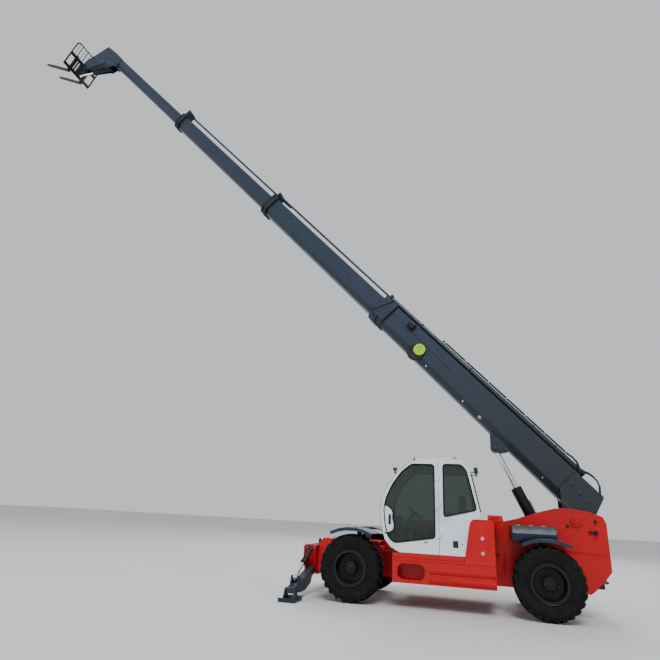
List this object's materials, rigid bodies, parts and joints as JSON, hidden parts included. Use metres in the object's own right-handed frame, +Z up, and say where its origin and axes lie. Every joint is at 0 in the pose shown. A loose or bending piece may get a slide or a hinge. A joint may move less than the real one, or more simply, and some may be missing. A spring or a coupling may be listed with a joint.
{
  "type": "telehandler",
  "caption": "Telehandler with a four-section boom fully extended at 46 degrees, forks, front stabilisers and a side cab",
  "frame": {"origin": "centre of the whole machine's box, on the ground", "axes": "+Z up, +X to the machine's rear, forks towards -X, cab side -Y"},
  "size_m": [16.9661, 3.5, 17.0952],
  "materials": {
    "black_paint": "satin",
    "cast_iron": "matte",
    "chrome": "polished",
    "plastic": "matte",
    "red_paint": "gloss",
    "seat_cloth": "matte",
    "slate_paint": "satin",
    "tinted_glass": "gloss",
    "tyre_rubber": "matte",
    "white_paint": "gloss"
  },
  "bodies": {
    "chassis": {"axle_front": "black_paint", "axle_rear": "black_paint", "cab_shell": "white_paint", "chassis_frame": "red_paint", "console": "plastic", "counterweight": "cast_iron", "engine_bay": "red_paint", "engine_block": "cast_iron", "fender_front_left": "slate_paint", "fender_front_right": "slate_paint", "fender_rear_left": "slate_paint", "fender_rear_right": "slate_paint", "quarter_window_left": "tinted_glass", "rear_side_box": "red_paint", "rear_window": "tinted_glass", "seat": "seat_cloth", "side_skirt": "red_paint", "side_window_right": "tinted_glass", "stabiliser_frame": "red_paint", "toolbox": "slate_paint", "windscreen": "tinted_glass"},
    "knuckle_front_left": {"knuckle_front_left": "black_paint"},
    "wheel_front_left": {"tyre_front_left": "tyre_rubber", "rim_front_left": "black_paint"},
    "knuckle_front_right": {"knuckle_front_right": "black_paint"},
    "wheel_front_right": {"tyre_front_right": "tyre_rubber", "rim_front_right": "black_paint"},
    "knuckle_rear_left": {"knuckle_rear_left": "black_paint"},
    "wheel_rear_left": {"tyre_rear_left": "tyre_rubber", "rim_rear_left": "black_paint"},
    "knuckle_rear_right": {"knuckle_rear_right": "black_paint"},
    "wheel_rear_right": {"tyre_rear_right": "tyre_rubber", "rim_rear_right": "black_paint"},
    "door": {"door_frame": "white_paint", "door_glass": "tinted_glass"},
    "hood": {"engine_hood": "red_paint"},
    "boom_1": {"boom_section_1": "slate_paint"},
    "boom_2": {"boom_section_2": "slate_paint"},
    "boom_3": {"boom_section_3": "slate_paint"},
    "boom_4": {"boom_section_4": "slate_paint", "boom_head": "slate_paint"},
    "lift_barrels": {"lift_barrel_left": "slate_paint", "lift_barrel_right": "slate_paint"},
    "lift_rods": {"lift_rod_left": "chrome", "lift_rod_right": "chrome"},
    "tilt_barrel": {"tilt_barrel": "slate_paint"},
    "tilt_rod": {"tilt_rod": "chrome"},
    "carriage": {"carriage": "black_paint"},
    "fork_left": {"fork_left": "black_paint"},
    "fork_right": {"fork_right": "black_paint"},
    "leg_left": {"stabiliser_leg_left": "slate_paint"},
    "foot_left": {"foot_pad_left": "slate_paint"},
    "leg_barrel_left": {"stabiliser_barrel_left": "slate_paint"},
    "leg_rod_left": {"stabiliser_rod_left": "chrome"},
    "leg_right": {"stabiliser_leg_right": "slate_paint"},
    "foot_right": {"foot_pad_right": "slate_paint"},
    "leg_barrel_right": {"stabiliser_barrel_right": "slate_paint"},
    "leg_rod_right": {"stabiliser_rod_right": "chrome"}
  },
  "joints": [
    {"name": "steer_front_left", "type": "hinge", "parent": "chassis", "child": "knuckle_front_left", "pos_m": [3.89514, -0.7, 0.59], "axis": [0, 0, 1], "range_deg": [-35, 35]},
    {"name": "spin_front_left", "type": "hinge", "parent": "knuckle_front_left", "child": "wheel_front_left", "pos_m": [3.89514, -0.985, 0.59], "axis": [0, 1, 0], "continuous": true},
    {"name": "steer_front_right", "type": "hinge", "parent": "chassis", "child": "knuckle_front_right", "pos_m": [3.89514, 0.7, 0.59], "axis": [0, 0, 1], "range_deg": [-35, 35]},
    {"name": "spin_front_right", "type": "hinge", "parent": "knuckle_front_right", "child": "wheel_front_right", "pos_m": [3.89514, 0.985, 0.59], "axis": [0, 1, 0], "continuous": true},
    {"name": "steer_rear_left", "type": "hinge", "parent": "chassis", "child": "knuckle_rear_left", "pos_m": [7.34514, -0.7, 0.59], "axis": [0, 0, 1], "range_deg": [-35, 35]},
    {"name": "spin_rear_left", "type": "hinge", "parent": "knuckle_rear_left", "child": "wheel_rear_left", "pos_m": [7.34514, -0.985, 0.59], "axis": [0, 1, 0], "continuous": true},
    {"name": "steer_rear_right", "type": "hinge", "parent": "chassis", "child": "knuckle_rear_right", "pos_m": [7.34514, 0.7, 0.59], "axis": [0, 0, 1], "range_deg": [-35, 35]},
    {"name": "spin_rear_right", "type": "hinge", "parent": "knuckle_rear_right", "child": "wheel_rear_right", "pos_m": [7.34514, 0.985, 0.59], "axis": [0, 1, 0], "continuous": true},
    {"name": "door_hinge", "type": "hinge", "parent": "chassis", "child": "door", "pos_m": [5.53614, -1.188, 0], "axis": [0, 0, 1], "range_deg": [0, 160]},
    {"name": "hood_hinge", "type": "hinge", "parent": "chassis", "child": "hood", "pos_m": [5.62014, 0.42, 1.315], "axis": [1, 0, 0], "range_deg": [0, 65]},
    {"name": "boom_lift", "type": "hinge", "parent": "chassis", "child": "boom_1", "pos_m": [7.95014, 0, 1.6], "axis": [0, 1, 0], "range_deg": [-49.4, 23.6]},
    {"name": "boom_extend_2", "type": "slide", "parent": "boom_1", "child": "boom_2", "axis": [-0.6896, 0, 0.7242], "range_m": [-4.37, 0]},
    {"name": "boom_extend_3", "type": "slide", "parent": "boom_2", "child": "boom_3", "axis": [-0.6896, 0, 0.7242], "range_m": [-4.72, 0]},
    {"name": "boom_extend_4", "type": "slide", "parent": "boom_3", "child": "boom_4", "axis": [-0.6896, 0, 0.7242], "range_m": [-4.262, 0]},
    {"name": "lift_barrel_hinge", "type": "hinge", "parent": "chassis", "child": "lift_barrels", "pos_m": [7.62014, 0, 0.8], "axis": [0, 1, 0], "range_deg": [-38.8, 19.1]},
    {"name": "lift_rod_slide", "type": "slide", "parent": "lift_barrels", "child": "lift_rods", "axis": [-0.4258, 0, 0.9048], "range_m": [-0.774, 0.38]},
    {"name": "fork_tilt", "type": "hinge", "parent": "boom_4", "child": "carriage", "pos_m": [-6.89464, 0, 16.43452], "axis": [0, 1, 0], "range_deg": [-75, 25]},
    {"name": "tilt_barrel_hinge", "type": "hinge", "parent": "boom_4", "child": "tilt_barrel", "pos_m": [-5.7988, 0, 16.12481], "axis": [0, 1, 0], "range_deg": [-2.2, 4.8]},
    {"name": "tilt_rod_slide", "type": "slide", "parent": "tilt_barrel", "child": "tilt_rod", "axis": [-1, 0, 0], "range_m": [-0.452, 0.164]},
    {"name": "fork_slide_left", "type": "slide", "parent": "carriage", "child": "fork_left", "axis": [0, 1, 0], "range_m": [-0.24, 0.2]},
    {"name": "fork_slide_right", "type": "slide", "parent": "carriage", "child": "fork_right", "axis": [0, 1, 0], "range_m": [-0.2, 0.24]},
    {"name": "leg_left_hinge", "type": "hinge", "parent": "chassis", "child": "leg_left", "pos_m": [2.90014, -0.33, 0.45], "axis": [-1, 0, 0], "range_deg": [0, 62]},
    {"name": "leg_barrel_left_hinge", "type": "hinge", "parent": "chassis", "child": "leg_barrel_left", "pos_m": [2.90014, -0.5, 0.84], "axis": [-1, 0, 0], "range_deg": [-1, 76.6]},
    {"name": "leg_rod_left_slide", "type": "slide", "parent": "leg_barrel_left", "child": "leg_rod_left", "axis": [0, -0.8747, -0.4847], "range_m": [-0.41, 0.02]},
    {"name": "foot_left_hinge", "type": "hinge", "parent": "leg_left", "child": "foot_left", "pos_m": [2.90014, -1.55, 0.17], "axis": [-1, 0, 0], "range_deg": [-12, 20]},
    {"name": "leg_right_hinge", "type": "hinge", "parent": "chassis", "child": "leg_right", "pos_m": [2.90014, 0.33, 0.45], "axis": [1, 0, 0], "range_deg": [0, 62]},
    {"name": "leg_barrel_right_hinge", "type": "hinge", "parent": "chassis", "child": "leg_barrel_right", "pos_m": [2.90014, 0.5, 0.84], "axis": [1, 0, 0], "range_deg": [-1, 76.6]},
    {"name": "leg_rod_right_slide", "type": "slide", "parent": "leg_barrel_right", "child": "leg_rod_right", "axis": [0, 0.8747, -0.4847], "range_m": [-0.41, 0.02]},
    {"name": "foot_right_hinge", "type": "hinge", "parent": "leg_right", "child": "foot_right", "pos_m": [2.90014, 1.55, 0.17], "axis": [1, 0, 0], "range_deg": [-12, 20]}
  ],
  "couplings": [
    {"joint": "steer_front_right", "follows": "steer_front_left", "ratio": 1},
    {"joint": "steer_rear_right", "follows": "steer_rear_left", "ratio": 1},
    {"joint": "boom_extend_3", "follows": "boom_extend_2", "ratio": 1.08},
    {"joint": "boom_extend_4", "follows": "boom_extend_2", "ratio": 0.975},
    {"joint": "lift_barrel_hinge", "follows": "boom_lift", "ratio": 0.765},
    {"joint": "lift_rod_slide", "follows": "boom_lift", "m_per_rad": 0.875},
    {"joint": "tilt_barrel_hinge", "follows": "fork_tilt", "ratio": -0.05},
    {"joint": "tilt_rod_slide", "follows": "fork_tilt", "m_per_rad": 0.33},
    {"joint": "leg_barrel_left_hinge", "follows": "leg_left_hinge", "ratio": 1.22},
    {"joint": "leg_rod_left_slide", "follows": "leg_left_hinge", "m_per_rad": -0.36},
    {"joint": "leg_barrel_right_hinge", "follows": "leg_right_hinge", "ratio": 1.22},
    {"joint": "leg_rod_right_slide", "follows": "leg_right_hinge", "m_per_rad": -0.36}
  ]
}
